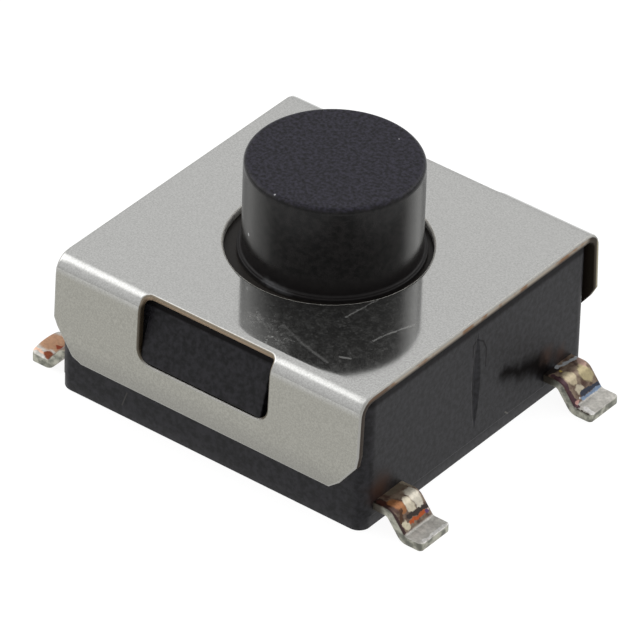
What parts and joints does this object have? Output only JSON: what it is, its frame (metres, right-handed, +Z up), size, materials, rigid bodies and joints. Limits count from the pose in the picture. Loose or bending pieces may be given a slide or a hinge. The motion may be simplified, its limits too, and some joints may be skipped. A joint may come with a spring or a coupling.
{
  "type": "tactile push button switch",
  "caption": "Square surface-mount push button switch: round button in a folded metal cover over a moulded housing with bent solder feet.",
  "frame": {"origin": "In the middle of the cover's top and of the four feet, at the height of the feet's undersides, which lie on the board; the button's axis stands 0.06 mm off it, in its play.", "axes": "+Z up out of the board, along the button's travel; the feet leave along +X and -X; the cover's two flaps face +Y and -Y."},
  "size_m": [0.008, 0.0064, 0.0044],
  "materials": {
    "housing_plastic": "satin",
    "cover_steel": "bright rolled",
    "button_plastic": "satin",
    "disc_steel": "bright",
    "lead_plating": "silver plated, solder-stained"
  },
  "bodies": {
    "body": {"housing": "housing_plastic", "cover": "cover_steel", "centre_contact_leads": "lead_plating", "rim_contact_leads": "lead_plating", "snap_disc": "disc_steel"},
    "button": {"button": "button_plastic"}
  },
  "joints": [
    {"name": "press", "type": "slide", "parent": "body", "child": "button", "axis": [0, 0, -1], "range_m": [0, 0.00025], "stiffness_N_per_m": 6400, "deforming": ["snap_disc"]}
  ]
}
